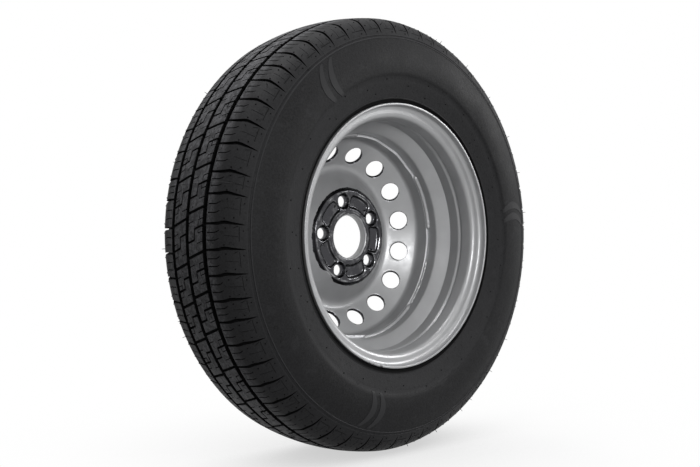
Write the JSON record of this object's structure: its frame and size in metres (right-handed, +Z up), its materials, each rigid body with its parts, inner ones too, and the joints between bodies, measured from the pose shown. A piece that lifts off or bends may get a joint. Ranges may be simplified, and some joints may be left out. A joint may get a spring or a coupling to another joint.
{
  "type": "wheel and tyre assembly",
  "caption": "Trailer road wheel: a pressed, vented steel disc welded into a drop-centre rim, with a grooved commercial radial tyre and a snap-in valve.",
  "frame": {"origin": "centre of the wheel: on its axis, in the rim's middle plane", "axes": "Y is the wheel's axis, with +Y pointing outboard and -Y towards the hub; +Z is up as the wheel stands on its tread"},
  "size_m": [0.6496, 0.188, 0.6496],
  "materials": {
    "tyre_rubber": "matte black tread rubber",
    "silver_paint": "satin silver wheel paint over dark primer",
    "valve_rubber": "smooth moulded rubber",
    "valve_brass": "bare turned brass",
    "seal_rubber": "moulded seal rubber",
    "spring_steel": "drawn wire",
    "cap_plastic": "moulded black plastic"
  },
  "bodies": {
    "wheel": {"tyre": "tyre_rubber", "rim": "silver_paint", "wheel_disc": "silver_paint", "disc_welds": "silver_paint", "valve_body": "valve_rubber", "valve_stem": "valve_brass", "valve_core_barrel": "valve_brass", "valve_core_seal": "seal_rubber", "valve_core_spring": "spring_steel"},
    "core_pin": {"valve_core_pin": "valve_brass", "valve_pin_seal": "seal_rubber"},
    "cap": {"valve_cap": "cap_plastic", "valve_cap_seal": "seal_rubber"}
  },
  "joints": [
    {"name": "core_pin_press", "type": "slide", "parent": "wheel", "child": "core_pin", "axis": [-0.5618, -0.7939, -0.2327], "range_m": [0, 0.0012], "stiffness_N_per_m": 300, "deforming": ["valve_core_spring"]},
    {"name": "cap_lift", "type": "slide", "parent": "wheel", "child": "cap", "axis": [0.5618, 0.7939, 0.2327], "range_m": [0, 0.015]}
  ]
}
